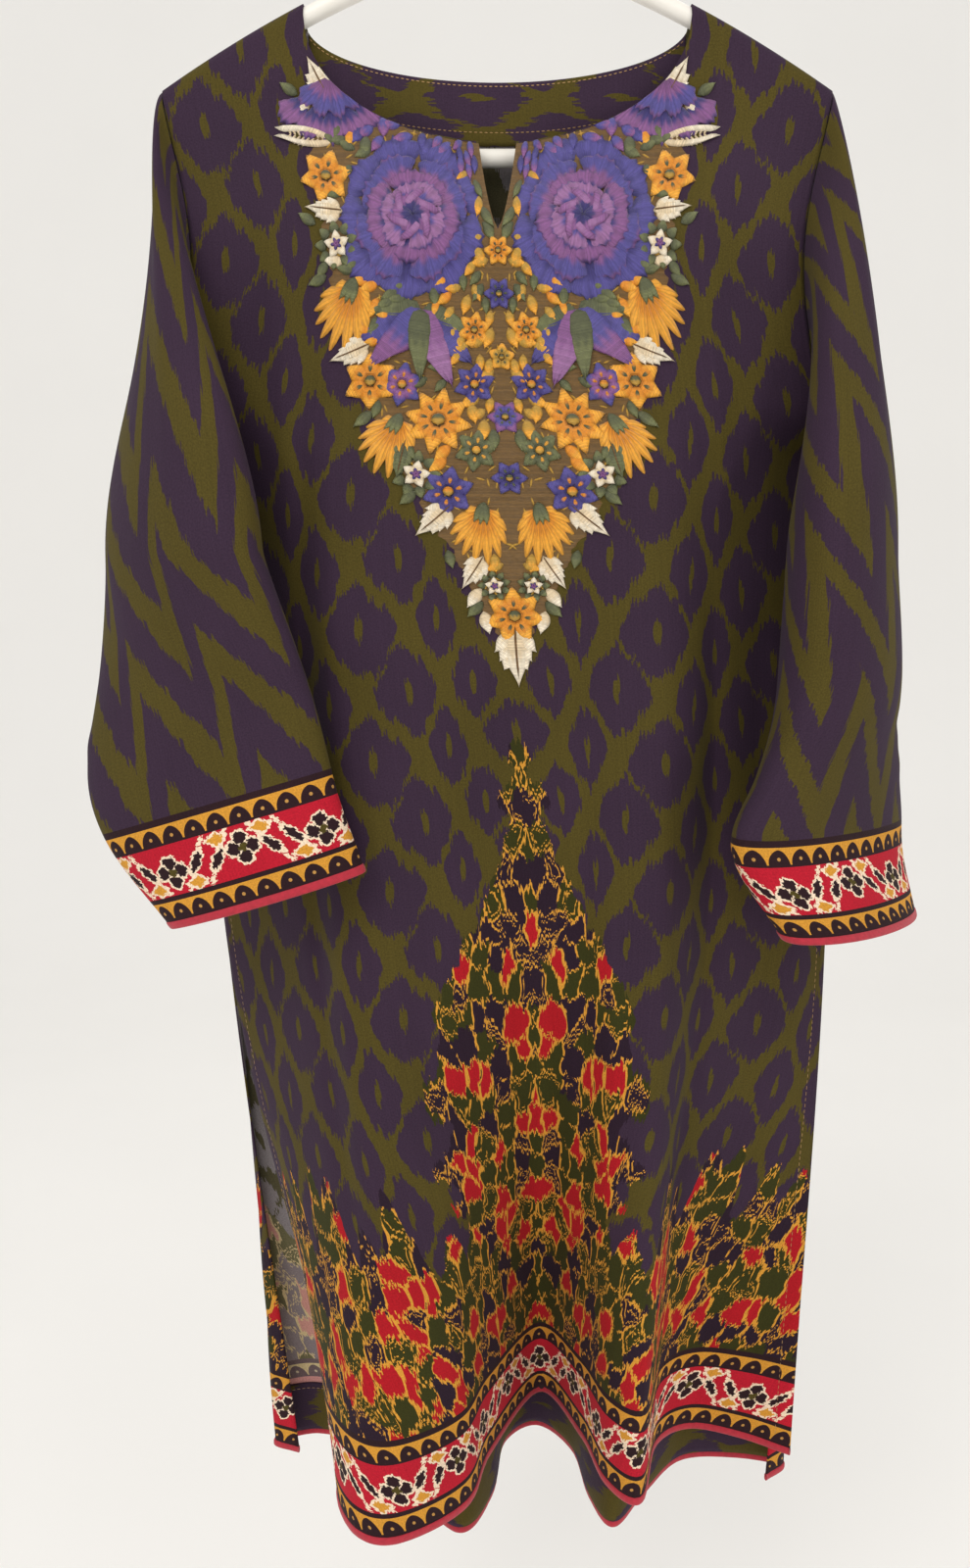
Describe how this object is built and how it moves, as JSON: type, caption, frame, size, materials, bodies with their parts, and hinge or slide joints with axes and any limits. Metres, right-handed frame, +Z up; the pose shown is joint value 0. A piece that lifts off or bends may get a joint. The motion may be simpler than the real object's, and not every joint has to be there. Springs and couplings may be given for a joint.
{
  "type": "kameez on a hanger",
  "caption": "Long printed cotton tunic with an embroidered neck yoke, three-quarter sleeves and side slits, hung on a plain tubular plastic hanger.",
  "frame": {"origin": "inner top of the hanger's hook, where a rail bears", "axes": "+Z up along the hanging garment, -Y out of its front, +X towards the wearer's left sleeve"},
  "size_m": [0.5271, 0.2363, 1.1282],
  "materials": {
    "body_print": "matt cotton with an aubergine and olive ikat lattice print",
    "sleeve_print": "matt cotton with an olive and aubergine zigzag print",
    "facing_print": "matt printed cotton",
    "binding": "matt red cotton",
    "embroidery": "satin stitch in violet, gold and cream silk-like thread",
    "plastic": "smooth white"
  },
  "bodies": {
    "root": {"front": "body_print", "back": "body_print", "back_neck_facing": "facing_print", "back_hem_facing": "facing_print", "front_hem_binding": "binding", "back_hem_binding": "binding", "neck_yoke": "embroidery", "right_sleeve": "sleeve_print", "right_sleeve_binding": "binding", "left_sleeve": "sleeve_print", "left_sleeve_binding": "binding", "hanger": "plastic", "hook": "plastic"}
  },
  "joints": []
}
